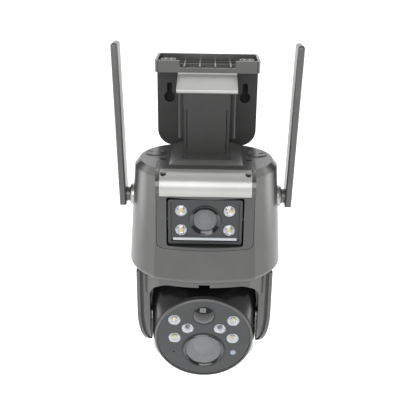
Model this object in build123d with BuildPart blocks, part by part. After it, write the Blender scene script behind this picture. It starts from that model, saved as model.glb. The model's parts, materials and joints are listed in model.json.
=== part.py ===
from build123d import *
import math
import os

# Wall-mounted two-eyed security camera. Millimetres.
# The wall is the plane Y = 0, the camera looks towards -Y, and Z points up.
# The origin is on the wall, midway between the two keyholes of the wall plate.

# ---------------------------------------------------------------- driving sizes
reach = 68.0                 # wall to the pan axis
drop = 39.0                  # keyholes to the body's top face
body_height = 97.0
body_half_width = 67.5       # at the widest level, just above the base plate
body_half_depth = 52.0
front_radius = 135.0         # of the body's flat front and back arcs
cheek_x = 43.0               # where the front arc ends in a slanted cheek
cheek_end = 51.0
draft = 4.15                 # degrees that the body's wall leans inwards
body_wall = 2.5
top_wall = 3.0
shoulder_in = 4.0            # chamfer round the top face
shoulder_down = 5.5
base_thickness = 5.0
base_edge = 0.5              # upright rim left above the base plate's rounding

soft_edge = 0.8              # small rounding of an outer edge
mount_stand = 1.5            # thickness of a motor's flange
play = 0.3                   # gap between pieces that move past each other
running = 0.05               # radial clearance of a shaft in its bore
seat = 0.15                  # gap round a piece that is set into a pocket

# wall bracket
plate_half_width = 46.0
plate_up = 28.3              # keyholes to the plate's top
plate_down = 46.0            # keyholes to the plate's bottom
plate_depth = 9.0
plate_wall = 2.6
plate_corner = 15.0
gasket_depth = 3.0
slit_width = 0.8
keyhole_spacing = 69.6
keyhole_radius = 4.9
keyhole_slot = 4.7
keyhole_rise = 12.0

tray_half_width = 45.5
tray_depth = 43.0
tray_height = 10.2
tray_wall = 2.2
tray_floor = 2.5
tray_corner = 4.0
notch_half_width = 24.2
notch_depth = 6.3
rib_thickness = 1.4
rib_height = 3.0
rib_spacing = 13.4
boss_spacing = 68.8
boss_from_wall = 27.0
boss_radius = 4.6
boss_ring_radius = 6.6
boss_ring_gap = 3.0
boss_below_rim = 1.0
panel_screw_radius = 1.9

box_half_width = 26.5        # raised box on the plate that the arm grows from
box_front = 22.0
box_corner = 4.0
arm_half_width = 19.5
arm_height = 52.0
arm_wall = 2.5
arm_taper_step = 3.0         # the arm cover is this much narrower low down
arm_taper_height = 38.0
neck_half_width = 25.5
neck_overhang = 2.2
neck_lip = 3.6
neck_wall = 2.0
neck_round = 1.4
neck_brow = 1.0             # the hood starts this far below the tray

# body top
mesa_height = 2.9
mesa_half_width = 30.6
mesa_front = 23.5
mesa_back = 38.0
mesa_slope = 10.0            # run of the side slopes
mesa_rake = 5.7              # run of the front slope
plug_radius = 8.8
plug_height = 0.8
plug_round = 0.5
plug_x = 44.5
plug_y = 10.0
plug_slot_length = 4.4
plug_slot_width = 1.8
drain_x = 36.5
drain_y = -8.0
drain_radius = 2.6
hood_screw_x = 34.2
hood_screw_y = -42.8
hood_screw_depth = 3.4
seam_length = 20.0
seam_width = 0.7
seam_depth = 0.6

# upper camera window
hood_half_width = 37.1
hood_reach = 50.0            # pan axis to the visor's lip
hood_lip_drop = 18.2         # top face to the lip
hood_lip = 2.8
hood_back = 34.0
bezel_half_width = 40.3
bezel_bottom = 65.8          # below the top face
bezel_back = 32.0
bezel_corner = 5.0
bezel_seam = 0.35            # open seam round the window's bezel
slot_height = 14.0           # slots below the ends of the hood
slot_width = 1.1
slot_depth = 3.0
slot_in = 1.5
window_half_width = 31.9
window_height = 42.0
window_up = 2.4              # bezel's lower edge to the window's lower edge
window_corner = 2.0

module_face = 44.4           # pan axis to the module's face
module_gap = 1.4
module_depth = 16.0
module_wall = 2.2
module_lip = 1.6
module_pin_radius = 2.0
module_pin_length = 3.0
module_plate_thickness = 1.6
module_board_behind = 3.0    # plate's back to the lamp board's back
lens_rise = 0.5              # lens centre above the window's centre
eye_ring_radius = 13.6
eye_ring_wall = 3.6
eye_glass_radius = 9.6
eye_barrel_depth = 9.8
eye_ring_height = 2.4
eye_ring_slope = 0.6
eye_glass_flange = 1.2
eye_glass_rise = 1.6
eye_recess = 3.0
lamp_radius = 5.6
eye_lamp_radius = 5.0
lamp_flange = 0.8
lamp_height = 3.0
lens_edge = 0.3              # straight edge under a lens's dome
eye_lamp_x = 19.9
eye_lamp_z = 8.55
strip_half_length = 26.4
strip_height = 2.4
strip_depth = 2.4
strip_round = 0.7
strip_drop = 15.8            # below the middle of the window

# antennas
antenna_length = 138.0
antenna_width = 19.0
antenna_thickness = 5.8
antenna_splay = 1.2
antenna_drop = 35.0          # below the top face
antenna_foot = 7.0
antenna_gap = 69.2           # pan axis plane to the blade's inner face
antenna_base_radius = 9.3
antenna_base_stand = 66.0
antenna_base_inner = 57.0
antenna_neck_radius = 6.3
antenna_pin_radius = 4.0
antenna_pin_length = 5.5
antenna_round = 1.8
antenna_tip_round = 2.6
antenna_plug_height = 7.7
antenna_plug_proud = 0.5

# back panel
panel_half_width = 24.0
panel_height = 30.0
panel_up = 18.0              # above the base plate's underside
panel_inset = 12.5           # back of the body's foot to the panel's face
panel_wall = 2.0
button_x = -12.0
button_radius = 4.0
button_proud = 1.6
button_travel = 0.8
button_round = 0.6
button_collar = 1.2
button_clear = 0.1
switch_width = 6.0
switch_height = 2.0
switch_stem = 1.0
flap_x = 10.0
flap_width = 15.0
flap_height = 11.0
flap_thickness = 2.0
flap_corner = 2.5
flap_stand = 0.2             # gap between the flap and the panel
flap_grip_down = 2.2
flap_grip_height = 1.4
flap_grip_proud = 0.8
socket_width = 9.0
socket_height = 3.2
socket_depth = 7.0
socket_sunk = 0.4
socket_wall = 0.4
socket_floor = 1.0
socket_tongue_in = 1.5
socket_tongue = 0.7

# yoke
yoke_gap = 1.2
yoke_half_width = 60.3
yoke_arch = 5.3
yoke_inner = 48.9
yoke_half_depth = 25.0
yoke_corner = 19.0
yoke_tip_in = 10.2
yoke_straight = 43.0         # below the body, where the arms start to curve inwards
yoke_notch = 4.8
yoke_inset = 7.0             # the top plate stays this far inside the body's outline
yoke_crown = 20.0            # height of the plate with the roots of its corners
cover_thickness = 2.9
strip_gap = 3.0
strip_inset = 1.2            # the soft strip stays this far inside the arm's outline
spindle_radius = 14.0
spindle_bore = 9.0

# head
tilt_drop = 58.0             # body's underside to the tilt axis
head_radius = 46.0
head_half_width = 47.6
head_shoulder = 20.0
rim_step = 0.3
rim_seam = 0.4               # open seam between the rim and the face plate
rim_round = 1.2
head_straight = 14.0         # the head keeps its full width this far ahead of the tilt axis
face_ahead = 38.0            # tilt axis to the face
rim_radius = 44.2
rim_wall = 2.0
rim_depth = 5.0
rest_tilt = 7.0              # degrees the face looks down at rest
shell_wall = 2.5
barrel_back = 14.0
face_thickness = 2.5
face_recess = 0.6
motion_z = 25.8
motion_radius = 10.4
motion_height = 4.6          # crown of the dome above the face
face_lamp_height = 1.8
face_lamp_edge = 0.4
side_lamp_x = 26.1
side_lamp_high = 20.6
side_lamp_low = 0.6
inner_lamp_x = 14.4
inner_lamp_z = 11.4
zoom_z = -13.8
zoom_glass_radius = 15.8
zoom_ring_radius = 19.6
zoom_ring_height = 1.2
zoom_ring_slope = 1.1
zoom_glass_height = 0.8
zoom_glass_down = 0.4        # edge of the front glass below the face
zoom_glass_seat = 0.6
zoom_barrel_wall = 3.0
zoom_barrel_gap = 0.2
zoom_barrel_depth = 24.0
sensor_x = 27.0
sensor_z = -15.8
sensor_radius = 2.8
mic_radius = 0.7
trunnion_radius = 8.0
trunnion_bore = 5.0
trunnion_reach = 31.0        # tilt gear's inner face from the middle
trunnion_boss = 3.4

# gears and motors
pan_module = 1.0
pan_gear_teeth = 48
pan_pinion_teeth = 12
tilt_module = 0.8
tilt_gear_teeth = 36
tilt_pinion_teeth = 12
gear_thickness = 4.5
pressure_angle = 20.0
tooth_top = 0.8
tooth_root = 1.2
backlash = 0.22
flank_steps = 4
motor_radius = 12.0
pan_motor_height = 15.0
tilt_motor_length = 17.0
motor_shaft_radius = 2.5
motor_ear = 3.0              # radius of the ears on the pan motor's flange
tilt_shaft_length = 2.0
tilt_motor_bore = 2.4

# inside the body
cell_radius = 9.1
cell_headroom = 15.5         # free height over the cells
cell_pitch = 19.5
cell_back = 23.0
cell_round = 1.0
cell_clear = 2.2             # gap between the cells and the board
board_thickness = 1.6
board_half_width = 45.0
board_height = 40.0
board_corner = 2.0
board_hole_in = 4.0
chip_height = 1.8
chip_side = 14.0
chip_x = -16.0
chip_up = 6.0
memory_width = 20.0
memory_height = 12.0
memory_x = 14.0
memory_up = -4.0
screw_head_radius = 2.6
screw_head_height = 1.4
screw_radius = 1.5
screw_cross = 3.0
screw_cross_width = 0.7

# ---------------------------------------------------------------- derived levels
axis_y = -reach
body_top = -drop
body_bottom = body_top - body_height
wall_bottom = body_bottom + base_thickness
lean = math.tan(math.radians(draft))
tray_bottom = plate_up
tray_top = tray_bottom + tray_height
arm_foot = body_top + mesa_height
arm_top = arm_foot + arm_height
tilt_z = body_bottom - tilt_drop
window_low = body_top - bezel_bottom + window_up
window_mid = window_low + window_height / 2
eye_z = window_mid + lens_rise
module_pivot = module_face - module_depth / 2
antenna_z = body_top - antenna_drop
panel_low = body_bottom + panel_up
panel_mid = panel_low + panel_height / 2
panel_back = axis_y + body_half_depth - panel_inset
cell_low = wall_bottom + gear_thickness + 2 * panel_wall
cell_length = body_top - top_wall - cell_headroom - cell_low
yoke_top = body_bottom - yoke_gap
yoke_under = yoke_top - yoke_arch
slope = math.radians(rest_tilt)
ahead = (0, -math.cos(slope), -math.sin(slope))


# ---------------------------------------------------------------- planes
def level(z):
    """A horizontal plane centred on the pan axis."""
    return Plane(origin=(0, axis_y, z), x_dir=(1, 0, 0), z_dir=(0, 0, 1))


def front(y):
    """An upright plane that faces the front: X to the right, local Y up."""
    return Plane(origin=(0, y, 0), x_dir=(1, 0, 0), z_dir=(0, -1, 0))


def side(x):
    """An upright plane across X: local X is towards the wall, local Y is up."""
    return Plane(origin=(x, 0, 0), x_dir=(0, 1, 0), z_dir=(1, 0, 0))


def tilt_side(x):
    """An upright plane across X, centred on the tilt axis."""
    return Plane(origin=(x, axis_y, tilt_z), x_dir=(0, 1, 0), z_dir=(1, 0, 0))


def head_plane(distance):
    """A plane square to the head's line of sight, this far ahead of the tilt axis."""
    centre = (0, axis_y + ahead[1] * distance, tilt_z + ahead[2] * distance)
    return Plane(origin=centre, x_dir=(1, 0, 0), z_dir=ahead)


head_axis = Axis((0, axis_y, tilt_z), ahead)


# ---------------------------------------------------------------- outlines
def oval(inset):
    """The body's plan: four tangent arcs, moved inwards by inset."""
    side_radius = (front_radius**2 - body_half_width**2 - (front_radius - body_half_depth) ** 2) / (
        2 * (front_radius - body_half_width)
    )
    side_x = body_half_width - side_radius
    front_y = front_radius - body_half_depth
    between = front_radius - side_radius
    join_x = side_x + side_x / between * (side_radius - inset)
    join_y = front_y / between * (side_radius - inset)
    wide = body_half_width - inset
    deep = body_half_depth - inset
    cheek_inner = cheek_x - inset / 2
    cheek_outer = cheek_end - inset / 2
    cheek_front = front_y - math.sqrt((front_radius - inset) ** 2 - cheek_inner**2)
    cheek_back = -math.sqrt((side_radius - inset) ** 2 - (cheek_outer - side_x) ** 2)
    with BuildSketch() as outline:
        with BuildLine():
            ThreePointArc((-cheek_inner, cheek_front), (0, -deep), (cheek_inner, cheek_front))
            Line((cheek_inner, cheek_front), (cheek_outer, cheek_back))
            ThreePointArc((cheek_outer, cheek_back), (wide, 0), (join_x, join_y))
            ThreePointArc((join_x, join_y), (0, deep), (-join_x, join_y))
            ThreePointArc((-join_x, join_y), (-wide, 0), (-cheek_outer, cheek_back))
            Line((-cheek_outer, cheek_back), (-cheek_inner, cheek_front))
        make_face()
    return outline.sketch


def hood_outline():
    """The hood's section across X: flush with the top face, curving down to the visor's lip."""
    lip_z = body_top - hood_lip_drop
    start = axis_y - hood_back
    tip = axis_y - hood_reach
    with BuildSketch() as outline:
        with BuildLine():
            crown = Line((start, body_top), (start - shoulder_in, body_top))
            brow = TangentArc(crown @ 1, (tip, lip_z + hood_lip), tangent=crown % 1)
            lip = Line(brow @ 1, (tip, lip_z))
            Polyline(lip @ 1, (start, lip_z), crown @ 0)
        make_face()
    return outline.sketch


def gear_outline(teeth, module, turned):
    """A spur gear with involute flanks; one tooth points along local X before it is turned."""
    pitch = teeth * module / 2
    base = pitch * math.cos(math.radians(pressure_angle))
    tip = pitch + tooth_top * module
    root = pitch - tooth_root * module
    begin = max(base, root + backlash)
    roll = math.tan(math.radians(pressure_angle)) - math.radians(pressure_angle)
    half_tooth = math.pi / (2 * teeth) - backlash / (4 * pitch)

    def flank(radius):
        angle = math.acos(min(1.0, base / radius))
        return half_tooth + roll - (math.tan(angle) - angle)

    radii = [begin + (tip - begin) * step / flank_steps for step in range(flank_steps + 1)]
    corners = []
    for tooth in range(teeth):
        middle = 2 * math.pi * tooth / teeth + math.radians(turned)
        rising = [(root, -flank(begin))] + [(radius, -flank(radius)) for radius in radii]
        falling = [(radius, flank(radius)) for radius in reversed(radii)] + [(root, flank(begin))]
        for radius, angle in rising + falling:
            corners.append((radius * math.cos(middle + angle), radius * math.sin(middle + angle)))
    with BuildSketch() as outline:
        with BuildLine():
            Polyline(*corners, close=True)
        make_face()
    return outline.sketch


def lens_dome(radius, height, rise):
    """Section of a round clear lens: a straight flange with a low dome on it."""
    with BuildSketch() as outline:
        with BuildLine():
            Polyline((0, height), (0, 0), (radius, 0), (radius, rise))
            TangentArc((0, height), (radius, rise), tangent=(1, 0))
        make_face()
    return outline.sketch


def revolved_on(plane, section):
    """Turns a section about the normal of a plane at the plane's origin."""
    across = Plane(origin=plane.origin, x_dir=plane.x_dir, z_dir=-plane.y_dir)
    return revolve(across * section, Axis(plane.origin, plane.z_dir), 360)


os.makedirs("parts", exist_ok=True)
made = []


def keep(piece, name):
    """Labels a finished piece and writes its file."""
    piece.part.label = name
    export_step(piece.part, "parts/" + name + ".step")
    made.append(name)


# ---------------------------------------------------------------- wall bracket
with BuildPart() as wall_plate:
    with BuildSketch(front(0)) as plate_face:
        with Locations((0, (plate_up - plate_down) / 2)):
            Rectangle(2 * plate_half_width, plate_up + plate_down)
        low_corners = plate_face.vertices().group_by(Axis.Y)[0]
        fillet(low_corners, plate_corner)
    extrude(amount=plate_depth)
    with BuildSketch(front(0)):
        add(offset(plate_face.sketch_local, -plate_wall, mode=Mode.PRIVATE))
    extrude(amount=plate_depth - plate_wall, mode=Mode.SUBTRACT)
    with BuildSketch(front(0)):
        with Locations((-keyhole_spacing / 2, 0), (keyhole_spacing / 2, 0)):
            Circle(keyhole_radius)
        with Locations(
            (-keyhole_spacing / 2, keyhole_rise / 2),
            (keyhole_spacing / 2, keyhole_rise / 2),
        ):
            SlotCenterToCenter(keyhole_rise - keyhole_slot / 2, keyhole_slot, rotation=90)
    extrude(amount=plate_depth, mode=Mode.SUBTRACT)
keep(wall_plate, "wall_plate")

with BuildPart() as wall_gasket:
    with BuildSketch(front(0)):
        add(offset(plate_face.sketch_local, -plate_wall - seat, mode=Mode.PRIVATE))
        with Locations((-keyhole_spacing / 2, 0), (keyhole_spacing / 2, 0)):
            Rectangle(2 * keyhole_radius, slit_width, mode=Mode.SUBTRACT)
            Rectangle(slit_width, 2 * keyhole_radius, mode=Mode.SUBTRACT)
    extrude(amount=gasket_depth)
keep(wall_gasket, "wall_gasket")

with BuildPart() as panel_tray:
    with BuildSketch(Plane.XY.offset(tray_bottom)) as tray_plan:
        with Locations((0, -tray_depth / 2)):
            Rectangle(2 * tray_half_width, tray_depth)
        fillet(tray_plan.vertices().group_by(Axis.Y)[0], tray_corner)
    extrude(amount=tray_height)
    with BuildSketch(Plane.XY.offset(tray_bottom + tray_floor)):
        add(offset(tray_plan.sketch_local, -tray_wall, mode=Mode.PRIVATE))
    extrude(amount=tray_height, mode=Mode.SUBTRACT)
    with BuildSketch(front(-tray_depth + tray_wall + tray_corner)):
        with Locations((0, tray_top - notch_depth / 2)):
            Rectangle(2 * notch_half_width, notch_depth)
    extrude(amount=tray_corner + 2 * tray_wall, mode=Mode.SUBTRACT)
    with BuildSketch(Plane.XY.offset(tray_bottom + tray_floor)):
        with Locations((0, -tray_depth / 2)):
            with GridLocations(rib_spacing, 1, 4, 1):
                Rectangle(rib_thickness, tray_depth - tray_wall)
            with GridLocations(1, tray_depth / 3, 1, 2):
                Rectangle(2 * notch_half_width, rib_thickness)
    extrude(amount=rib_height)
    with BuildSketch(Plane.XY.offset(tray_bottom + tray_floor)):
        with Locations((0, -boss_from_wall)):
            with GridLocations(boss_spacing, 1, 2, 1):
                Circle(boss_ring_radius)
                Circle(boss_ring_radius - rib_thickness, mode=Mode.SUBTRACT)
                Rectangle(boss_ring_gap, 2 * boss_ring_radius, mode=Mode.SUBTRACT)
                Circle(boss_radius - rib_thickness / 2)
    extrude(amount=tray_height - tray_floor - boss_below_rim)
    with BuildSketch(Plane.XY.offset(tray_bottom)):
        with Locations((0, -boss_from_wall)):
            with GridLocations(boss_spacing, 1, 2, 1):
                Circle(panel_screw_radius)
    extrude(amount=tray_height, mode=Mode.SUBTRACT)
keep(panel_tray, "panel_tray")

with BuildPart() as arm_housing:
    with BuildSketch(Plane.XY.offset(arm_foot)):
        with Locations((0, -(plate_depth + box_front) / 2)):
            Rectangle(2 * box_half_width, box_front - plate_depth)
    extrude(amount=tray_bottom - arm_foot)
    fillet(arm_housing.edges().filter_by(Axis.Z).group_by(Axis.Y)[0], box_corner)
    with BuildSketch(Plane.XY.offset(arm_foot)):
        with Locations((0, -(box_front + reach - arm_wall) / 2)):
            Rectangle(2 * arm_half_width, reach - arm_wall - box_front)
    extrude(amount=arm_height)
    with BuildSketch(Plane.XY.offset(arm_foot + arm_wall)):
        with Locations((0, -(plate_depth + arm_wall + reach) / 2)):
            Rectangle(2 * (arm_half_width - arm_wall), reach - plate_depth - arm_wall)
    extrude(amount=arm_height - 2 * arm_wall, mode=Mode.SUBTRACT)
keep(arm_housing, "arm_housing")

with BuildPart() as arm_cover:
    narrow = arm_half_width - arm_taper_step
    with BuildSketch(front(-reach + arm_wall)):
        with BuildLine():
            Polyline(
                (-narrow, arm_foot),
                (-narrow, arm_foot + arm_taper_height),
                (-arm_half_width, arm_foot + arm_taper_height),
                (-arm_half_width, arm_top),
                (arm_half_width, arm_top),
                (arm_half_width, arm_foot + arm_taper_height),
                (narrow, arm_foot + arm_taper_height),
                (narrow, arm_foot),
                close=True,
            )
        make_face()
    extrude(amount=arm_wall)
    fillet(arm_cover.edges().group_by(Axis.Y)[0].filter_by(Axis.Z), soft_edge)
keep(arm_cover, "arm_cover")

with BuildPart() as neck_hood:
    neck_front = -reach - neck_overhang
    with BuildSketch(side(-neck_half_width)) as neck_section:
        with BuildLine():
            Polyline(
                (-box_front, arm_top),
                (neck_front, arm_top),
                (neck_front, arm_top + neck_lip),
                (-tray_depth, tray_bottom - neck_brow),
                (-tray_depth, tray_bottom),
                (-box_front, tray_bottom),
                close=True,
            )
        make_face()
    extrude(amount=2 * neck_half_width)
    fillet(neck_hood.edges().filter_by(Axis.X).group_by(Axis.Y)[0], neck_round)
    with BuildSketch(Plane.XY.offset(arm_top)):
        with Locations((0, -(box_front + reach) / 2)):
            Rectangle(2 * arm_half_width, reach - box_front - 2 * neck_wall)
    extrude(amount=neck_lip - neck_wall / 2, mode=Mode.SUBTRACT)
keep(neck_hood, "neck_hood")

# ---------------------------------------------------------------- body
with BuildPart() as body_form:
    with BuildSketch(level(wall_bottom)):
        add(oval(0))
    extrude(amount=body_top - wall_bottom, taper=draft)
    chamfer(body_form.faces().sort_by(Axis.Z)[-1].edges(), shoulder_down, shoulder_in)
outer_form = body_form.part

with BuildPart() as body_shell:
    add(outer_form)
    with BuildSketch(level(wall_bottom)):
        add(oval(body_wall))
    extrude(amount=body_top - wall_bottom - shoulder_down, taper=draft, mode=Mode.SUBTRACT)
    with BuildSketch(level(body_top - shoulder_down)):
        add(oval(body_wall + (body_top - wall_bottom - shoulder_down) * lean + shoulder_in))
    extrude(amount=shoulder_down - top_wall, mode=Mode.SUBTRACT)
    mesa_length = mesa_front + mesa_back
    mesa_centre = (mesa_back - mesa_front) / 2
    with BuildSketch(level(body_top)):
        with Locations((0, mesa_centre)):
            Rectangle(2 * mesa_half_width, mesa_length)
    with BuildSketch(level(body_top + mesa_height)):
        with Locations((0, mesa_centre + mesa_rake / 2)):
            Rectangle(2 * (mesa_half_width - mesa_slope), mesa_length - mesa_rake)
    loft()
    with BuildSketch(front(axis_y - hood_back + seat)):
        with Locations((0, body_top - hood_lip_drop / 2 + seat)):
            Rectangle(2 * (bezel_half_width + bezel_seam), hood_lip_drop + 4 * seat)
    extrude(amount=body_half_depth, mode=Mode.SUBTRACT)
    with BuildSketch(front(axis_y - bezel_back)) as bezel_place:
        with Locations((0, body_top - bezel_bottom / 2 - bezel_seam)):
            Rectangle(2 * (bezel_half_width + bezel_seam), bezel_bottom)
        fillet(bezel_place.vertices().group_by(Axis.Y)[0], bezel_corner)
    extrude(amount=body_half_depth, mode=Mode.SUBTRACT)
    with BuildSketch(side(-body_half_width)):
        with Locations((axis_y, antenna_z)):
            Circle(antenna_base_radius + seat)
    extrude(amount=2 * body_half_width, mode=Mode.SUBTRACT)
    with BuildSketch(front(0)):
        with Locations((0, panel_mid)):
            Rectangle(2 * (panel_half_width + seat), panel_height + 2 * seat)
    extrude(amount=panel_wall - panel_back, mode=Mode.SUBTRACT)
    with BuildSketch(level(body_top)):
        with Locations((-drain_x, drain_y), (drain_x, drain_y)):
            Circle(drain_radius)
    extrude(amount=-top_wall, mode=Mode.SUBTRACT)
    seam_y = seam_length / 2 - hood_back
    with BuildSketch(level(body_top)):
        with Locations((-bezel_half_width, seam_y), (bezel_half_width, seam_y)):
            Rectangle(seam_width, seam_length)
    extrude(amount=-seam_depth, mode=Mode.SUBTRACT)
keep(body_shell, "body_shell")

with BuildPart() as base_plate:
    with BuildSketch(level(body_bottom)):
        add(oval(0))
    extrude(amount=base_thickness)
    fillet(base_plate.faces().sort_by(Axis.Z)[0].edges(), base_thickness - base_edge)
    with BuildSketch(level(body_bottom)):
        Circle(spindle_radius + running)
    extrude(amount=base_thickness, mode=Mode.SUBTRACT)
keep(base_plate, "base_plate")

with BuildPart() as front_hood:
    with BuildSketch(side(-hood_half_width)):
        add(hood_outline())
    extrude(amount=2 * hood_half_width)
    lip_edges = front_hood.edges().filter_by(Axis.X).group_by(Axis.Y)[0]
    fillet(lip_edges, hood_lip / 3)
    cavity_front = hood_reach - 2 * hood_lip
    with BuildSketch(level(body_top - hood_lip_drop)):
        with Locations((0, -(hood_back + cavity_front) / 2)):
            Rectangle(2 * (hood_half_width - body_wall), cavity_front - hood_back - 2 * body_wall)
    extrude(amount=hood_lip_drop / 2, mode=Mode.SUBTRACT)
    with BuildSketch(level(body_top)):
        with Locations((-hood_screw_x, hood_screw_y), (hood_screw_x, hood_screw_y)):
            Circle(screw_head_radius)
    extrude(amount=-hood_screw_depth, mode=Mode.SUBTRACT)
keep(front_hood, "front_hood")

with BuildPart() as window_bezel:
    bezel_top = body_top - hood_lip_drop - 2 * seat
    bezel_low = body_top - bezel_bottom
    with BuildSketch(front(axis_y - bezel_back)) as bezel_plan:
        with Locations((0, (bezel_top + bezel_low) / 2)):
            Rectangle(2 * bezel_half_width, bezel_top - bezel_low)
        fillet(bezel_plan.vertices().group_by(Axis.Y)[0], bezel_corner)
    extrude(amount=body_half_depth - bezel_back)
    add(outer_form, mode=Mode.INTERSECT)
    for hand in (-1, 1):
        cheek_plane = side(hand * (hood_half_width + seat))
        with BuildSketch(cheek_plane):
            add(hood_outline())
            with Locations((axis_y - (hood_back + module_face) / 2, body_top - hood_lip_drop)):
                Rectangle(module_face - hood_back, 8 * seat)
        extrude(amount=hand * (bezel_half_width - hood_half_width - seat))
    slot_x = bezel_half_width - slot_in
    with BuildSketch(front(axis_y - body_half_depth)):
        with Locations((-slot_x, bezel_top - slot_height / 2), (slot_x, bezel_top - slot_height / 2)):
            Rectangle(slot_width, slot_height)
    extrude(amount=-slot_depth - body_half_depth / 10, mode=Mode.SUBTRACT)
    with BuildSketch(front(axis_y - bezel_back)) as window_plan:
        with Locations((0, window_mid)):
            RectangleRounded(2 * window_half_width, window_height, window_corner)
    extrude(amount=body_half_depth, mode=Mode.SUBTRACT)
    with BuildSketch(side(-window_half_width - module_pin_length)):
        with Locations((axis_y - module_pivot, window_mid)):
            Circle(module_pin_radius + running)
    extrude(amount=2 * (window_half_width + module_pin_length), mode=Mode.SUBTRACT)
keep(window_bezel, "window_bezel")

with BuildPart() as top_plugs:
    with BuildSketch(level(body_top)):
        with Locations((-plug_x, plug_y), (plug_x, plug_y)):
            Circle(plug_radius)
            with GridLocations(plug_slot_length + plug_slot_width, 1, 2, 1):
                SlotOverall(plug_slot_length, plug_slot_width, mode=Mode.SUBTRACT)
    extrude(amount=plug_height)
    fillet(top_plugs.faces().sort_by(Axis.Z)[-1].outer_wire().edges(), plug_round)
keep(top_plugs, "top_plugs")

# ---------------------------------------------------------------- antennas
for hand, word in ((-1, "left"), (1, "right")):
    outward = Plane(
        origin=(hand * antenna_base_inner, axis_y, antenna_z), x_dir=(0, hand, 0), z_dir=(hand, 0, 0)
    )
    splay = math.radians(antenna_splay)
    blade_plane = Plane(
        origin=(hand * antenna_gap, axis_y, antenna_z),
        x_dir=(0, hand, 0),
        z_dir=(hand * math.cos(splay), 0, -math.sin(splay)),
    )

    with BuildPart() as antenna_base:
        with BuildSketch(outward):
            Circle(antenna_base_radius)
        extrude(amount=antenna_base_stand - antenna_base_inner)
        rings = antenna_base.edges().filter_by(GeomType.CIRCLE).sort_by(Axis.X)
        fillet(rings[0 if hand < 0 else -1], soft_edge)
        with BuildSketch(outward.offset(antenna_base_stand - antenna_base_inner)):
            Circle(antenna_pin_radius + running)
        extrude(amount=-antenna_pin_length - play, mode=Mode.SUBTRACT)
    keep(antenna_base, "antenna_base_" + word)

    with BuildPart() as antenna:
        with BuildSketch(blade_plane):
            with Locations((0, antenna_length / 2 - antenna_foot)):
                Rectangle(antenna_width, antenna_length)
        extrude(amount=antenna_thickness)
        upright = antenna.edges().group_by(SortBy.LENGTH)[-1]
        fillet(upright, antenna_round)
        top_end = antenna.faces().sort_by(Axis.Z)[-1]
        fillet(top_end.edges(), antenna_tip_round)
        with BuildSketch(outward.offset(antenna_base_stand + play - antenna_base_inner)):
            Circle(antenna_neck_radius)
        extrude(amount=antenna_gap - antenna_base_stand - play + antenna_thickness / 2)
        with BuildSketch(outward.offset(antenna_base_stand + play - antenna_base_inner)):
            Circle(antenna_pin_radius)
        extrude(amount=-antenna_pin_length)
    keep(antenna, "antenna_" + word)

    with BuildPart() as antenna_plug:
        with BuildSketch(blade_plane.offset(antenna_thickness)):
            SlotOverall(antenna_width / 2, antenna_plug_height)
        extrude(amount=antenna_plug_proud)
    keep(antenna_plug, "antenna_plug_" + word)

# ---------------------------------------------------------------- back panel, button and charging socket
flap_low = panel_mid - flap_height / 2
hinge_y = panel_back + flap_thickness / 2 + flap_stand

with BuildPart() as service_panel:
    with BuildSketch(front(0)):
        with Locations((0, panel_mid)):
            Rectangle(2 * panel_half_width, panel_height)
    extrude(amount=panel_wall - panel_back)
    with BuildSketch(front(0)):
        with Locations((0, panel_mid)):
            Rectangle(2 * (panel_half_width - panel_wall), panel_height - 2 * panel_wall)
    extrude(amount=-panel_back, mode=Mode.SUBTRACT)
    add(outer_form, mode=Mode.INTERSECT)
    with BuildSketch(front(panel_back)):
        with Locations((button_x, panel_mid)):
            Circle(button_radius + running)
        with Locations((flap_x, panel_mid)):
            SlotOverall(socket_width + 2 * seat, socket_height + 2 * seat)
    extrude(amount=panel_wall, mode=Mode.SUBTRACT)
keep(service_panel, "service_panel")

with BuildPart() as charge_socket:
    with BuildSketch(front(panel_back - socket_sunk)):
        with Locations((flap_x, panel_mid)):
            SlotOverall(socket_width, socket_height)
    extrude(amount=socket_depth)
    with BuildSketch(front(panel_back - socket_sunk)):
        with Locations((flap_x, panel_mid)):
            SlotOverall(socket_width - 2 * socket_wall, socket_height - 2 * socket_wall)
            tongue_width = socket_width - 2 * socket_tongue_in
            SlotOverall(tongue_width, socket_tongue, mode=Mode.SUBTRACT)
    extrude(amount=socket_depth - socket_floor, mode=Mode.SUBTRACT)
keep(charge_socket, "charge_socket")

with BuildPart() as socket_flap:
    with BuildSketch(front(hinge_y - flap_thickness / 2)) as flap_plan:
        with Locations((flap_x, flap_low + flap_height / 2)):
            Rectangle(flap_width, flap_height)
        fillet(flap_plan.vertices().group_by(Axis.Y)[-1], flap_corner)
    extrude(amount=-flap_thickness)
    with BuildSketch(side(flap_x - flap_width / 2)):
        with Locations((hinge_y, flap_low)):
            Circle(flap_thickness / 2)
    extrude(amount=flap_width)
    with BuildSketch(front(hinge_y + flap_thickness / 2)):
        with Locations((flap_x, flap_low + flap_height - flap_grip_down)):
            SlotOverall(flap_width / 2, flap_grip_height)
    extrude(amount=-flap_grip_proud)
keep(socket_flap, "socket_flap")

with BuildPart() as power_button:
    with BuildSketch(front(panel_back + button_proud)):
        with Locations((button_x, panel_mid)):
            Circle(button_radius)
    extrude(amount=button_proud + panel_wall + button_travel)
    fillet(power_button.edges().sort_by(Axis.Y)[-1], button_round)
    with BuildSketch(front(panel_back - panel_wall - button_clear)):
        with Locations((button_x, panel_mid)):
            Circle(button_radius + button_collar)
    extrude(amount=button_travel)
keep(power_button, "power_button")

switch_y = panel_back - panel_wall - 2 * button_travel - play
with BuildPart() as button_switch:
    with BuildSketch(front(switch_y)):
        with Locations((button_x, panel_mid)):
            Circle(button_radius / 2)
    extrude(amount=switch_stem)
    with BuildSketch(front(switch_y - switch_stem)):
        with Locations((button_x, panel_mid)):
            Rectangle(switch_width, switch_width)
    extrude(amount=switch_height)
keep(button_switch, "button_switch")

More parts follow.
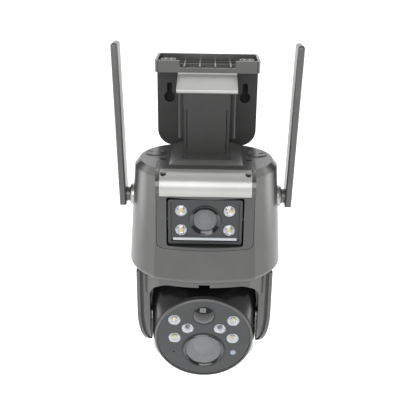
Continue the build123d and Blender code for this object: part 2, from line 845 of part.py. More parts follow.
# ---------------------------------------------------------------- inside the body
with BuildPart() as battery_cells:
    with BuildSketch(level(cell_low)):
        with Locations((0, cell_back)):
            with GridLocations(cell_pitch, 1, 3, 1):
                Circle(cell_radius)
    extrude(amount=cell_length)
    for ring in battery_cells.faces().sort_by(Axis.Z)[-3:]:
        fillet(ring.edges(), cell_round)
keep(battery_cells, "battery_cells")

cell_clip_y = cell_back - cell_radius - cell_clear
with BuildPart() as main_board:
    with BuildSketch(front(axis_y + cell_clip_y)):
        with Locations((0, window_mid)):
            RectangleRounded(2 * board_half_width, board_height, board_corner)
            hole_across = 2 * (board_half_width - board_hole_in)
            with GridLocations(hole_across, board_height - 2 * board_hole_in, 2, 2):
                Circle(screw_radius, mode=Mode.SUBTRACT)
    extrude(amount=board_thickness)
    with BuildSketch(front(axis_y + cell_clip_y - board_thickness)):
        with Locations((chip_x, window_mid + chip_up)):
            Rectangle(chip_side, chip_side)
        with Locations((memory_x, window_mid + memory_up)):
            Rectangle(memory_width, memory_height)
    extrude(amount=chip_height)
keep(main_board, "main_board")

pan_distance = pan_module * (pan_gear_teeth + pan_pinion_teeth) / 2
gear_low = wall_bottom + play
with BuildPart() as pan_motor:
    with BuildSketch(level(gear_low + gear_thickness + play)):
        with Locations((0, -pan_distance)):
            Circle(motor_radius)
            with GridLocations(2 * (motor_radius + motor_ear), 1, 2, 1):
                Circle(motor_ear)
            Rectangle(2 * (motor_radius + motor_ear), 2 * motor_ear)
            with GridLocations(2 * (motor_radius + motor_ear), 1, 2, 1):
                Circle(screw_radius, mode=Mode.SUBTRACT)
            Circle(motor_shaft_radius + running, mode=Mode.SUBTRACT)
    extrude(amount=mount_stand)
    with BuildSketch(level(gear_low + gear_thickness + play + mount_stand)):
        with Locations((0, -pan_distance)):
            Circle(motor_radius)
    extrude(amount=pan_motor_height)
keep(pan_motor, "pan_motor")

with BuildPart() as pan_pinion:
    with BuildSketch(level(gear_low)):
        with Locations((0, -pan_distance)):
            add(gear_outline(pan_pinion_teeth, pan_module, 90 + 180 / pan_pinion_teeth))
    extrude(amount=gear_thickness)
    with BuildSketch(level(gear_low + gear_thickness)):
        with Locations((0, -pan_distance)):
            Circle(motor_shaft_radius)
    extrude(amount=mount_stand)
keep(pan_pinion, "pan_pinion")

with BuildPart() as pan_gear:
    with BuildSketch(level(gear_low)):
        add(gear_outline(pan_gear_teeth, pan_module, 90))
        Circle(spindle_radius, mode=Mode.SUBTRACT)
    extrude(amount=gear_thickness)
keep(pan_gear, "pan_gear")

# ---------------------------------------------------------------- upper camera module
module_half_width = window_half_width - module_gap
module_height = window_height - 2 * module_gap
with BuildPart() as module_housing:
    with BuildSketch(front(axis_y - module_face + module_depth)):
        with Locations((0, window_mid)):
            RectangleRounded(2 * module_half_width, module_height, window_corner)
    extrude(amount=module_depth)
    with BuildSketch(front(axis_y - module_face + module_depth - module_wall)):
        with Locations((0, window_mid)):
            Rectangle(2 * (module_half_width - module_wall), module_height - 2 * module_wall)
    extrude(amount=module_depth, mode=Mode.SUBTRACT)
    with BuildSketch(side(-window_half_width - module_pin_length + play)):
        with Locations((axis_y - module_pivot, window_mid)):
            Circle(module_pin_radius)
    extrude(amount=module_pin_length - play + module_gap)
    with BuildSketch(side(module_half_width)):
        with Locations((axis_y - module_pivot, window_mid)):
            Circle(module_pin_radius)
    extrude(amount=module_pin_length - play + module_gap)
keep(module_housing, "module_housing")

plate_y = axis_y - module_face + module_lip
strip_z = window_mid - strip_drop
with BuildPart() as module_plate:
    with BuildSketch(front(plate_y + module_plate_thickness)):
        with Locations((0, window_mid)):
            Rectangle(
                2 * (module_half_width - module_wall - seat), module_height - 2 * (module_wall + seat)
            )
        with Locations((0, eye_z)):
            Circle(eye_ring_radius, mode=Mode.SUBTRACT)
            with GridLocations(2 * eye_lamp_x, 2 * eye_lamp_z, 2, 2):
                Circle(eye_lamp_radius + seat, mode=Mode.SUBTRACT)
        with Locations((0, strip_z)):
            Rectangle(2 * (strip_half_length + seat), strip_height + 2 * seat, mode=Mode.SUBTRACT)
    extrude(amount=module_plate_thickness)
keep(module_plate, "module_plate")

with BuildPart() as light_strip:
    with BuildSketch(front(plate_y + module_plate_thickness)):
        with Locations((0, strip_z)):
            Rectangle(2 * strip_half_length, strip_height)
    extrude(amount=strip_depth)
    fillet(light_strip.edges().filter_by(Axis.X).group_by(Axis.Y)[0], strip_round)
keep(light_strip, "light_strip")

eye_plane = Plane(origin=(0, plate_y + module_plate_thickness, eye_z), x_dir=(1, 0, 0), z_dir=(0, -1, 0))
with BuildPart() as eye_ring:
    with BuildSketch(eye_plane):
        Circle(eye_ring_radius - seat)
        Circle(eye_ring_radius - eye_ring_wall, mode=Mode.SUBTRACT)
    extrude(amount=eye_ring_height)
    inner_edge = eye_ring.edges().group_by(Axis.Y)[0].sort_by(SortBy.LENGTH)[0]
    chamfer(inner_edge, eye_ring_slope)
keep(eye_ring, "eye_ring")

with BuildPart() as eye_barrel:
    with BuildSketch(eye_plane):
        Circle(eye_ring_radius - eye_ring_wall - seat)
    extrude(amount=-eye_barrel_depth)
    with BuildSketch(eye_plane):
        Circle(eye_glass_radius - lens_edge)
    extrude(amount=-eye_recess, mode=Mode.SUBTRACT)
keep(eye_barrel, "eye_barrel")

with BuildPart() as eye_glass:
    with BuildSketch(eye_plane):
        Circle(eye_ring_radius - eye_ring_wall - seat)
    extrude(amount=eye_glass_flange)
    eye_dome = lens_dome(eye_glass_radius, eye_glass_rise, lens_edge)
    add(revolved_on(eye_plane.offset(eye_glass_flange), eye_dome))
keep(eye_glass, "eye_glass")

eye_lamp = lens_dome(eye_lamp_radius, lamp_height, module_plate_thickness + lamp_flange)
with BuildPart() as module_lamps:
    for lamp_place in GridLocations(2 * eye_lamp_x, 2 * eye_lamp_z, 2, 2).locations:
        spot = lamp_place.position
        lamp_plane = Plane(
            origin=(spot.X, eye_plane.origin.Y, eye_z + spot.Y), x_dir=(1, 0, 0), z_dir=(0, -1, 0)
        )
        add(revolved_on(lamp_plane, eye_lamp))
keep(module_lamps, "module_lamps")

with BuildPart() as module_board:
    with BuildSketch(front(plate_y + module_plate_thickness + module_board_behind)):
        with Locations((0, window_mid)):
            Rectangle(
                2 * (module_half_width - module_wall - seat), module_height - 2 * (module_wall + seat)
            )
        with Locations((0, eye_z)):
            Circle(eye_ring_radius - eye_ring_wall, mode=Mode.SUBTRACT)
    extrude(amount=board_thickness)
keep(module_board, "module_board")

# ---------------------------------------------------------------- yoke
tip_z = tilt_z - yoke_half_depth
bend_z = body_bottom - yoke_straight


def arm_side():
    """The yoke's outline from the side: straight arms with round ends below the tilt axis."""
    with BuildSketch() as outline:
        with BuildLine():
            Line((-yoke_half_depth, yoke_top - tilt_z), (-yoke_half_depth, 0))
            ThreePointArc((-yoke_half_depth, 0), (0, -yoke_half_depth), (yoke_half_depth, 0))
            Polyline(
                (yoke_half_depth, 0),
                (yoke_half_depth, yoke_top - tilt_z),
                (-yoke_half_depth, yoke_top - tilt_z),
            )
        make_face()
    return outline.sketch


def bent_strip(hand, outer, inner):
    """A layer of a yoke arm from the front: upright, then curving inwards below the bend."""
    with BuildSketch() as outline:
        with BuildLine():
            Line((hand * outer, yoke_top), (hand * outer, bend_z))
            TangentArc((hand * outer, bend_z), (hand * (outer - yoke_tip_in), tip_z), tangent=(0, -1))
            Line((hand * (outer - yoke_tip_in), tip_z), (hand * (inner - yoke_tip_in), tip_z))
            TangentArc((hand * inner, bend_z), (hand * (inner - yoke_tip_in), tip_z), tangent=(0, -1))
            Line((hand * inner, bend_z), (hand * inner, yoke_top))
            Line((hand * inner, yoke_top), (hand * outer, yoke_top))
        make_face()
    return outline.sketch


def head_gap():
    """The space between the yoke's arms, seen from the front, with rounded upper corners."""
    with BuildSketch() as outline:
        with Locations((0, (yoke_under + tip_z) / 2 - yoke_corner)):
            Rectangle(2 * yoke_inner, yoke_under - tip_z + 2 * yoke_corner)
        fillet(outline.vertices().group_by(Axis.Y)[-1], yoke_corner)
    return outline.sketch


def yoke_form():
    """The yoke's whole outer form: two round-ended arms under a plate that follows the body's outline."""
    with BuildPart() as form:
        with BuildSketch(tilt_side(-yoke_half_width)):
            add(arm_side())
        extrude(amount=2 * yoke_half_width)
        with BuildSketch(level(yoke_top)):
            add(oval(yoke_inset))
        extrude(amount=-yoke_crown)
    return form.part


frame_half = yoke_half_width - cover_thickness - strip_gap
with BuildPart() as yoke_frame:
    with BuildSketch(front(axis_y + body_half_depth)):
        for hand in (-1, 1):
            add(bent_strip(hand, frame_half, 0))
    extrude(amount=2 * body_half_depth)
    add(yoke_form(), mode=Mode.INTERSECT)
    with BuildSketch(front(axis_y + body_half_depth)):
        add(head_gap())
    extrude(amount=2 * body_half_depth, mode=Mode.SUBTRACT)
    with BuildSketch(level(yoke_top)):
        Circle(spindle_radius)
    extrude(amount=gear_low + gear_thickness - yoke_top)
    with BuildSketch(level(yoke_under)):
        Circle(spindle_bore)
    extrude(amount=2 * gear_thickness + base_thickness + yoke_arch, mode=Mode.SUBTRACT)
    with BuildSketch(front(axis_y - body_half_depth + yoke_inset + yoke_notch)):
        with Locations((0, yoke_under)):
            Rectangle(2 * yoke_notch, yoke_arch)
    extrude(amount=yoke_notch, mode=Mode.SUBTRACT)
keep(yoke_frame, "yoke_frame")

for hand, word in ((-1, "left"), (1, "right")):
    with BuildPart() as yoke_strip:
        with BuildSketch(front(axis_y + yoke_half_depth)):
            add(bent_strip(hand, frame_half + strip_gap, frame_half))
        extrude(amount=2 * yoke_half_depth)
        with BuildSketch(tilt_side(-yoke_half_width)):
            add(offset(arm_side(), -strip_inset, mode=Mode.PRIVATE))
        extrude(amount=2 * yoke_half_width, mode=Mode.INTERSECT)
        with BuildSketch(front(axis_y + yoke_half_depth)):
            add(head_gap())
        extrude(amount=2 * yoke_half_depth, mode=Mode.SUBTRACT)
    keep(yoke_strip, "yoke_strip_" + word)

    with BuildPart() as yoke_cover:
        with BuildSketch(front(axis_y + yoke_half_depth)):
            add(bent_strip(hand, yoke_half_width, frame_half + strip_gap))
        extrude(amount=2 * yoke_half_depth)
        with BuildSketch(tilt_side(-yoke_half_width)):
            add(arm_side())
        extrude(amount=2 * yoke_half_width, mode=Mode.INTERSECT)
        with BuildSketch(front(axis_y + yoke_half_depth)):
            add(head_gap())
        extrude(amount=2 * yoke_half_depth, mode=Mode.SUBTRACT)
    keep(yoke_cover, "yoke_cover_" + word)

    inwards = Plane(
        origin=(hand * yoke_inner, axis_y, tilt_z), x_dir=(0, 1, 0), z_dir=(-hand, 0, 0)
    )
    with BuildPart() as trunnion:
        with BuildSketch(inwards):
            Circle(trunnion_radius)
            Circle(trunnion_bore, mode=Mode.SUBTRACT)
        extrude(amount=yoke_inner - trunnion_reach)
    keep(trunnion, "trunnion_" + word)

with BuildPart() as tilt_gear:
    with BuildSketch(tilt_side(-trunnion_reach - gear_thickness)):
        add(gear_outline(tilt_gear_teeth, tilt_module, 0))
        Circle(trunnion_radius, mode=Mode.SUBTRACT)
    extrude(amount=gear_thickness)
keep(tilt_gear, "tilt_gear")

# ---------------------------------------------------------------- head
rim_back = face_ahead - rim_depth


def head_block(near, far):
    """A block that holds all of the head between two planes square to its line of sight."""
    with BuildPart() as block:
        with BuildSketch(head_plane(near)):
            Rectangle(4 * head_radius, 4 * head_radius)
        extrude(amount=far - near)
    return block.part


def head_form(inset):
    """The head's outer form, or its hollow: half a drum, a straight part, and a blend to the round rim."""
    wide = head_half_width - inset
    tall = head_radius - inset
    neck = rim_radius - rim_step - inset
    with BuildPart() as form:
        with BuildSketch(tilt_side(-wide)):
            Circle(tall)
        extrude(amount=2 * wide)
        fillet(form.edges().filter_by(GeomType.CIRCLE), head_shoulder - inset)
        add(head_block(-2 * head_radius, 0), mode=Mode.INTERSECT)
        with BuildSketch(head_plane(0)):
            RectangleRounded(2 * wide, 2 * tall, head_shoulder - inset)
        extrude(amount=head_straight)
        with BuildSketch(head_plane(head_straight)):
            RectangleRounded(2 * wide, 2 * tall, head_shoulder - inset)
        with BuildSketch(head_plane(rim_back)):
            RectangleRounded(2 * neck, 2 * neck, neck - rim_step)
        loft()
    return form.part


with BuildPart() as head_barrel:
    add(head_form(0))
    add(head_form(shell_wall), mode=Mode.SUBTRACT)
    add(head_block(-barrel_back, 2 * head_radius), mode=Mode.INTERSECT)
    for hand in (-1, 1):
        boss_plane = Plane(
            origin=(hand * (head_half_width - shell_wall - trunnion_boss), axis_y, tilt_z),
            x_dir=(0, 1, 0),
            z_dir=(hand, 0, 0),
        )
        with BuildSketch(boss_plane):
            Circle(trunnion_radius + shell_wall)
        extrude(amount=trunnion_boss + shell_wall / 2)
    with BuildSketch(tilt_side(-yoke_half_width)):
        Circle(trunnion_radius + running)
    extrude(amount=2 * yoke_half_width, mode=Mode.SUBTRACT)
keep(head_barrel, "head_barrel")

with BuildPart() as rear_cap:
    add(head_form(0))
    add(head_form(shell_wall), mode=Mode.SUBTRACT)
    add(head_block(-2 * head_radius, -barrel_back), mode=Mode.INTERSECT)
keep(rear_cap, "rear_cap")

with BuildPart() as head_rim:
    with BuildSketch(head_plane(rim_back)):
        Circle(rim_radius)
        Circle(rim_radius - rim_wall, mode=Mode.SUBTRACT)
    extrude(amount=rim_depth)
    outer_lip = head_rim.edges().filter_by(GeomType.CIRCLE).sort_by(SortBy.RADIUS)[-2:]
    fillet(outer_lip.sort_by(head_axis)[-1], rim_round)
keep(head_rim, "head_rim")

plate_back = face_ahead - face_recess - face_thickness
side_lamp_places = [
    (hand * side_lamp_x, height) for hand in (-1, 1) for height in (side_lamp_low, side_lamp_high)
]
inner_lamp_places = [(hand * inner_lamp_x, inner_lamp_z) for hand in (-1, 1)]
with BuildPart() as face_plate:
    with BuildSketch(head_plane(plate_back)):
        Circle(rim_radius - rim_wall - rim_seam)
        with Locations(*side_lamp_places, *inner_lamp_places):
            Circle(lamp_radius + seat, mode=Mode.SUBTRACT)
        with Locations((0, motion_z)):
            Circle(motion_radius + seat, mode=Mode.SUBTRACT)
        with Locations((0, zoom_z)):
            Circle(zoom_ring_radius + seat, mode=Mode.SUBTRACT)
        with Locations((sensor_x, sensor_z)):
            Circle(sensor_radius + seat, mode=Mode.SUBTRACT)
        with Locations((-sensor_x, sensor_z)):
            Circle(mic_radius, mode=Mode.SUBTRACT)
    extrude(amount=face_thickness)
keep(face_plate, "face_plate")


def on_face(x, y):
    """A plane at the back of the face plate, centred on a place on the face."""
    base = head_plane(plate_back)
    return Plane(origin=base.from_local_coords((x, y, 0)), x_dir=base.x_dir, z_dir=base.z_dir)


with BuildPart() as motion_lens:
    motion_dome = lens_dome(motion_radius, face_thickness + motion_height, face_thickness)
    add(revolved_on(on_face(0, motion_z), motion_dome))
keep(motion_lens, "motion_lens")

face_lamp = lens_dome(lamp_radius, face_thickness + face_lamp_height, face_thickness + face_lamp_edge)
with BuildPart() as white_lamps:
    for place in side_lamp_places:
        add(revolved_on(on_face(*place), face_lamp))
keep(white_lamps, "white_lamps")

with BuildPart() as infrared_lamps:
    for place in inner_lamp_places:
        add(revolved_on(on_face(*place), face_lamp))
keep(infrared_lamps, "infrared_lamps")

with BuildPart() as zoom_ring:
    with BuildSketch(on_face(0, zoom_z)):
        Circle(zoom_ring_radius)
        Circle(zoom_glass_radius + zoom_glass_seat, mode=Mode.SUBTRACT)
    extrude(amount=face_thickness + zoom_ring_height)
    ring_top = zoom_ring.edges().filter_by(GeomType.CIRCLE).group_by(head_axis)[-1]
    chamfer(ring_top.sort_by(SortBy.RADIUS)[0], zoom_ring_slope)
keep(zoom_ring, "zoom_ring")

with BuildPart() as zoom_barrel:
    with BuildSketch(on_face(0, zoom_z).offset(-zoom_barrel_gap)):
        Circle(zoom_glass_radius - zoom_glass_seat)
    extrude(amount=-zoom_barrel_depth)
    with BuildSketch(on_face(0, zoom_z).offset(-zoom_barrel_gap)):
        Circle(zoom_glass_radius - zoom_glass_seat - zoom_barrel_wall)
    extrude(amount=-zoom_barrel_depth / 4, mode=Mode.SUBTRACT)
keep(zoom_barrel, "zoom_barrel")

with BuildPart() as zoom_glass:
    glass_edge = face_thickness - zoom_glass_down
    dome = lens_dome(
        zoom_glass_radius + zoom_glass_seat - seat, face_thickness + zoom_glass_height, glass_edge
    )
    add(revolved_on(on_face(0, zoom_z), dome))
keep(zoom_glass, "zoom_glass")

with BuildPart() as light_sensor:
    dome = lens_dome(sensor_radius, face_thickness + lens_edge, face_thickness)
    add(revolved_on(on_face(sensor_x, sensor_z), dome))
keep(light_sensor, "light_sensor")

with BuildPart() as lamp_board:
    with BuildSketch(head_plane(plate_back - board_thickness)):
        Circle(rim_radius - 2 * rim_wall - 3 * seat)
        with Locations((0, zoom_z)):
            Circle(zoom_glass_radius, mode=Mode.SUBTRACT)
    extrude(amount=board_thickness - play / 2)
keep(lamp_board, "lamp_board")

with BuildPart() as image_board:
    with BuildSketch(head_plane(plate_back - zoom_barrel_depth - board_thickness - play)):
        with Locations((0, zoom_z)):
            RectangleRounded(2 * zoom_glass_radius, 2 * zoom_glass_radius, board_corner)
    extrude(amount=board_thickness)
keep(image_board, "image_board")

tilt_distance = tilt_module * (tilt_gear_teeth + tilt_pinion_teeth) / 2
with BuildPart() as tilt_pinion:
    with BuildSketch(tilt_side(-trunnion_reach - gear_thickness)):
        with Locations((tilt_distance, 0)):
            add(gear_outline(tilt_pinion_teeth, tilt_module, 180 / tilt_pinion_teeth))
    extrude(amount=gear_thickness)
    with BuildSketch(tilt_side(-trunnion_reach)):
        with Locations((tilt_distance, 0)):
            Circle(motor_shaft_radius)
    extrude(amount=tilt_shaft_length)
keep(tilt_pinion, "tilt_pinion")

with BuildPart() as tilt_motor:
    with BuildSketch(tilt_side(-trunnion_reach + play)):
        with Locations((tilt_distance, 0)):
            Circle(motor_radius)
    extrude(amount=tilt_motor_length)
    with BuildSketch(tilt_side(-trunnion_reach + play)):
        with Locations((tilt_distance, 0)):
            Circle(motor_shaft_radius + running)
    extrude(amount=tilt_motor_bore, mode=Mode.SUBTRACT)
keep(tilt_motor, "tilt_motor")

# ---------------------------------------------------------------- the hood's screws
with BuildPart() as cover_screws:
    screw_low = body_top - hood_screw_depth
    with BuildSketch(level(screw_low)):
        with Locations((-hood_screw_x, hood_screw_y), (hood_screw_x, hood_screw_y)):
            Circle(screw_head_radius - seat)
    extrude(amount=screw_head_height)
    with BuildSketch(level(screw_low + screw_head_height)):
        with Locations((-hood_screw_x, hood_screw_y), (hood_screw_x, hood_screw_y)):
            Rectangle(screw_cross, screw_cross_width)
            Rectangle(screw_cross_width, screw_cross)
    extrude(amount=-screw_head_height / 2, mode=Mode.SUBTRACT)
keep(cover_screws, "cover_screws")

print(len(made), "nodes")
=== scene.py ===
# %% [markdown]
# # A wall-mounted security camera with two eyes
#
# The camera hangs from a wall bracket with a tray for a solar panel. A wide, fixed eye looks out
# of its body, and a second one in a round head below it pans and tilts. The measured model gives
# the size and place of every piece. This lesson gives them their finishes, and remakes the small
# pieces that a measured model keeps plain: lenses, lamps and plugs.

# %% Load the measured model
import bpy
import json
import math
from mathutils import Matrix, Vector


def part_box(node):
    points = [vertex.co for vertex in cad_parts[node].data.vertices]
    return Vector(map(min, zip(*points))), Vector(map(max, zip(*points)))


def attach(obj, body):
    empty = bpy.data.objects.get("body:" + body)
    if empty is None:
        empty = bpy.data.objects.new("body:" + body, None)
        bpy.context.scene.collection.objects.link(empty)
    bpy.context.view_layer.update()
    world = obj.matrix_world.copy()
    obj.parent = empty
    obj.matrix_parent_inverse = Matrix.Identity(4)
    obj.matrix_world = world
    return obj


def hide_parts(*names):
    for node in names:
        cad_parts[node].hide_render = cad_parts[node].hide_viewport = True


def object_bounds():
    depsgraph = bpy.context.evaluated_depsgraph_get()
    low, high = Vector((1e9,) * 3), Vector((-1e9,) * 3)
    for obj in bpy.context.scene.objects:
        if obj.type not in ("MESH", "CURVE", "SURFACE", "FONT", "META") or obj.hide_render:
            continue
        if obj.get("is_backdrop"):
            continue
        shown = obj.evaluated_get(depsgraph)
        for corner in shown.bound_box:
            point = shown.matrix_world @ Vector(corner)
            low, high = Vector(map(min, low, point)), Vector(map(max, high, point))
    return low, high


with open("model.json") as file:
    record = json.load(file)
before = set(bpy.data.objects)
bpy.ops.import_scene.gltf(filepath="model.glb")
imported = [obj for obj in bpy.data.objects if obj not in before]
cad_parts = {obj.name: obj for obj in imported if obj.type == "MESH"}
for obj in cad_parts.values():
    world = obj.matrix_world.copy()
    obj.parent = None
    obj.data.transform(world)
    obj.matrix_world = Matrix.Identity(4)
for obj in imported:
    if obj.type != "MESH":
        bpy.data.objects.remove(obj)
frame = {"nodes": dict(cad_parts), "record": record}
cad_low, cad_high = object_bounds()
size = [round(v * 1000) for v in cad_high - cad_low]
print("measured model:", len(frame["nodes"]), "nodes,", size, "mm")

# %% [markdown]
# The whole thing is made in metres, while the sizes on a drawing are in millimetres. One short
# name for a millimetre keeps the numbers below readable.

# %% A millimetre
MM = 0.001


def ease_off():
    """Leaves edit mode and deselects everything, because an operator acts on all that is selected."""
    if bpy.context.object and bpy.context.object.mode != "OBJECT":
        bpy.ops.object.mode_set(mode="OBJECT")
    bpy.ops.object.select_all(action="DESELECT")


ease_off()
print("one millimetre is", MM, "m")

# %% [markdown]
# ## Camera, floor and light
#
# A product is best shown with a long lens from a little above, so its upright lines stay almost
# parallel. The lens is a short telephoto and the camera looks down at 22 degrees.

# %% Camera
LOOK_AT = Vector((2.2, -62.0, -89.0)) * MM
DISTANCE = 576 * MM
PITCH = math.radians(22.0)
ROLL = math.radians(0.88)

camera_data = bpy.data.cameras.new("camera")
camera_data.lens = 55.4
camera_data.clip_start = 0.01
camera = bpy.data.objects.new("camera", camera_data)
bpy.context.collection.objects.link(camera)
away = Vector((0, -math.cos(PITCH), math.sin(PITCH)))
camera.location = LOOK_AT + away * DISTANCE
facing = away.to_track_quat("Z", "Y").to_matrix().to_4x4()
camera.matrix_world = Matrix.Translation(camera.location) @ facing @ Matrix.Rotation(ROLL, 4, "Z")
bpy.context.scene.camera = camera
print("camera at", [round(v / MM) for v in camera.location], "mm")

# %% [markdown]
# The floor is far below, so the camera seems to hang in white air and throws no shadow on it.
# The light is soft and comes from all round, with one large panel high in front that draws long
# highlights on the curved shells, and one weaker one on each side for the edges.

# %% Floor and light
def srgb(text):
    """Turns a hex colour, as a paint program shows it, to the linear numbers that light needs."""
    parts = [int(text[i:i + 2], 16) / 255 for i in (1, 3, 5)]
    linear = [p / 12.92 if p <= 0.04045 else ((p + 0.055) / 1.055) ** 2.4 for p in parts]
    return (*linear, 1.0)


def add_node(tree, kind, inputs=None, **settings):
    """Adds one node, sets its own settings, and fills or links its sockets by name or number."""
    node = tree.nodes.new(kind)
    for name, value in settings.items():
        setattr(node, name, value)
    for socket, value in (inputs or {}).items():
        if isinstance(value, bpy.types.NodeSocket):
            tree.links.new(value, node.inputs[socket])
        else:
            node.inputs[socket].default_value = value
    return node


FLOOR_DROP = 0.5
FLOOR_SIZE = 60
bpy.ops.mesh.primitive_plane_add(size=FLOOR_SIZE, location=(0, 0, cad_low.z - FLOOR_DROP))
floor = bpy.context.object
floor.name = "studio_floor"
floor_paint = bpy.data.materials.new("matt_white_studio_floor")
floor_paint.use_nodes = True
floor_shader = floor_paint.node_tree.nodes["Principled BSDF"]
floor_shader.inputs["Base Color"].default_value = srgb("#f4f4f4")
floor_shader.inputs["Roughness"].default_value = 0.9
floor_shader.inputs["Emission Color"].default_value = srgb("#ffffff")
floor_shader.inputs["Emission Strength"].default_value = 0.65
floor.data.materials.append(floor_paint)
floor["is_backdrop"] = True
ease_off()

world = bpy.data.worlds.new("studio_air")
world.use_nodes = True
air = world.node_tree
ray = add_node(air, "ShaderNodeTexCoord").outputs["Generated"]
axes = add_node(air, "ShaderNodeSeparateXYZ", {"Vector": ray})
front_to_back = add_node(air, "ShaderNodeMapRange", {
    "Value": axes.outputs["Y"], "From Min": -0.6, "From Max": 0.5, "To Min": 0.30, "To Max": 1.25})
overhead = add_node(air, "ShaderNodeMapRange", {
    "Value": axes.outputs["Z"], "From Min": 0.35, "From Max": 0.8, "To Min": 1.0, "To Max": 1.05})
level_of_light = add_node(air, "ShaderNodeMath", {
    0: front_to_back.outputs["Result"], 1: overhead.outputs["Result"]}, operation="MULTIPLY")
air.links.new(level_of_light.outputs["Value"], air.nodes["Background"].inputs["Strength"])
air.nodes["Background"].inputs["Color"].default_value = srgb("#ffffff")
bpy.context.scene.world = world
bpy.context.scene.view_settings.view_transform = "Standard"


def light_panel(name, place, size, power):
    """A soft rectangular lamp that faces the middle of the object."""
    data = bpy.data.lights.new(name, "AREA")
    data.shape = "RECTANGLE"
    data.size, data.size_y = size
    data.energy = power
    lamp = bpy.data.objects.new(name, data)
    bpy.context.collection.objects.link(lamp)
    lamp.location = place
    lamp.rotation_euler = (Vector(place) - LOOK_AT).to_track_quat("Z", "Y").to_euler()
    return lamp


light_panel("key_panel", (-0.2, -1.3, 0.5), (1.3, 0.95), 15)
light_panel("left_panel", (-1.1, 0.2, 0.05), (0.4, 1.0), 4.0)
light_panel("right_panel", (1.1, 0.2, 0.05), (0.4, 1.0), 4.0)

# %% [markdown]
# ## Finishes of the mouldings
#
# Each finish starts from what the real surface is. A pattern on Object coordinates is in metres,
# so the number of grains to a metre is one over the grain's size. `finish` makes the shader with
# its plain values, and each cell then adds the nodes that vary it.

# %% A start for each finish
def finish(name, color, roughness, metallic=0.0, **sockets):
    """A new material with a Principled shader; more sockets are given by name with _ for a space."""
    material = bpy.data.materials.new(name)
    material.use_nodes = True
    tree = material.node_tree
    shader = tree.nodes["Principled BSDF"]
    shader.inputs["Base Color"].default_value = srgb(color)
    shader.inputs["Roughness"].default_value = roughness
    shader.inputs["Metallic"].default_value = metallic
    for socket, value in sockets.items():
        shader.inputs[socket.replace("_", " ")].default_value = value
    return material, tree, shader


def grain(tree, shader, size, depth):
    """Gives a shader a grain of this size and depth in millimetres, and returns its coordinates."""
    place = add_node(tree, "ShaderNodeTexCoord").outputs["Object"]
    noise = add_node(tree, "ShaderNodeTexNoise",
                     {"Vector": place, "Scale": 1 / (size * MM), "Detail": 3.0})
    bump = add_node(tree, "ShaderNodeBump",
                    {"Height": noise.outputs["Fac"], "Strength": 0.35, "Distance": depth * MM})
    tree.links.new(bump.outputs["Normal"], shader.inputs["Normal"])
    return place


def tint(tree, shader, place, size, low, high):
    """Lets the colour drift between two near shades in soft clouds of this size in millimetres."""
    clouds = add_node(tree, "ShaderNodeTexNoise",
                      {"Vector": place, "Scale": 1 / (size * MM), "Detail": 2.0})
    mix = add_node(tree, "ShaderNodeMix",
                   {"Factor": clouds.outputs["Fac"], 6: srgb(low), 7: srgb(high)}, data_type="RGBA")
    tree.links.new(mix.outputs[2], shader.inputs["Base Color"])


# %% [markdown]
# ## Painted and moulded shells
#
# The body and the yoke are moulded in ABS and then sprayed. Paint with fine metal flakes looks
# neither like metal nor like plain plastic: it has a soft sheen, so it is only partly metallic and
# lies under a thin clear coat. The bracket is left as it comes out of a spark-eroded mould.

# %% Shell finishes
# Graphite: mid grey with a silky sheen that lightens towards the light.
graphite, tree, shader = finish("graphite_metallic_paint_on_abs", "#50504f", 0.32, 0.5,
                                Coat_Weight=0.25, Coat_Roughness=0.2)
tint(tree, shader, grain(tree, shader, 0.5, 0.02), 18, "#4b4b4a", "#565655")

# Polished graphite: the bezel is a shade darker than the body and mirrors more of the room.
polished, tree, shader = finish("polished_graphite_paint_on_abs", "#484848", 0.18, 0.5,
                                Coat_Weight=0.4, Coat_Roughness=0.08)
tint(tree, shader, grain(tree, shader, 0.5, 0.008), 16, "#444444", "#4d4d4d")

# Dark texture: nearly black, matt, and slightly warm, so the bracket stays behind the body.
# On the wall plate it is painted shade from the tray above.
dark_texture_and_plate_shade, tree, shader = finish("spark_textured_dark_abs_and_painted_plate_shade", "#201f1e", 0.5)
tint(tree, shader, grain(tree, shader, 0.6, 0.06), 6, "#1d1c1b", "#242322")

# Painted highlight: a much lighter copy of the graphite paint on the trim, standing for the key
# panel's reflection; it draws the bright line that frames the head from both sides.
painted_highlight_trim, tree, shader = finish("graphite_paint_lightened_as_painted_highlight", "#a2a2a0", 0.34, 0.5,
                              Coat_Weight=0.2, Coat_Roughness=0.2)
tint(tree, shader, grain(tree, shader, 0.45, 0.015), 20, "#9b9b99", "#a9a9a7")
print("shell finishes:", [m.name for m in (graphite, polished, dark_texture_and_plate_shade, painted_highlight_trim)])

# %% [markdown]
# ## Blacks of the head and the window
#
# Three blacks sit side by side. The bezels are polished in the mould and mirror the room. The
# head's barrel is a little softer. The face plate is satin, so the lamps on it stand out.

# %% Black finishes
# Piano black: a deep black with sharp reflections.
piano, tree, shader = finish("piano_black_abs", "#101011", 0.1, Coat_Weight=0.6, Coat_Roughness=0.04)
tint(tree, shader, grain(tree, shader, 7, 0.02), 12, "#0e0e0f", "#141415")

# Satin black: the same black with blurred highlights along the barrel.
satin_black, tree, shader = finish("satin_black_abs", "#0f0f10", 0.22)
tint(tree, shader, grain(tree, shader, 0.5, 0.01), 14, "#0d0d0e", "#131314")

# Satin charcoal: a flat dark grey that carries the lenses.
satin, tree, shader = finish("satin_charcoal_polycarbonate", "#2a2c2d", 0.42)
tint(tree, shader, grain(tree, shader, 0.35, 0.02), 14, "#27292a", "#2e3031")

# Foam and rubber: dead matt blacks that swallow the light; behind the keyholes the foam is painted
# shade.
foam, tree, shader = finish("neoprene_foam_and_painted_keyhole_shade", "#1b1b1b", 0.9)
grain(tree, shader, 0.8, 0.2)
rubber, tree, shader = finish("moulded_silicone_rubber", "#1e1e1f", 0.7)
grain(tree, shader, 0.5, 0.03)
print("black finishes:", [m.name for m in (piano, satin_black, satin, foam, rubber)])

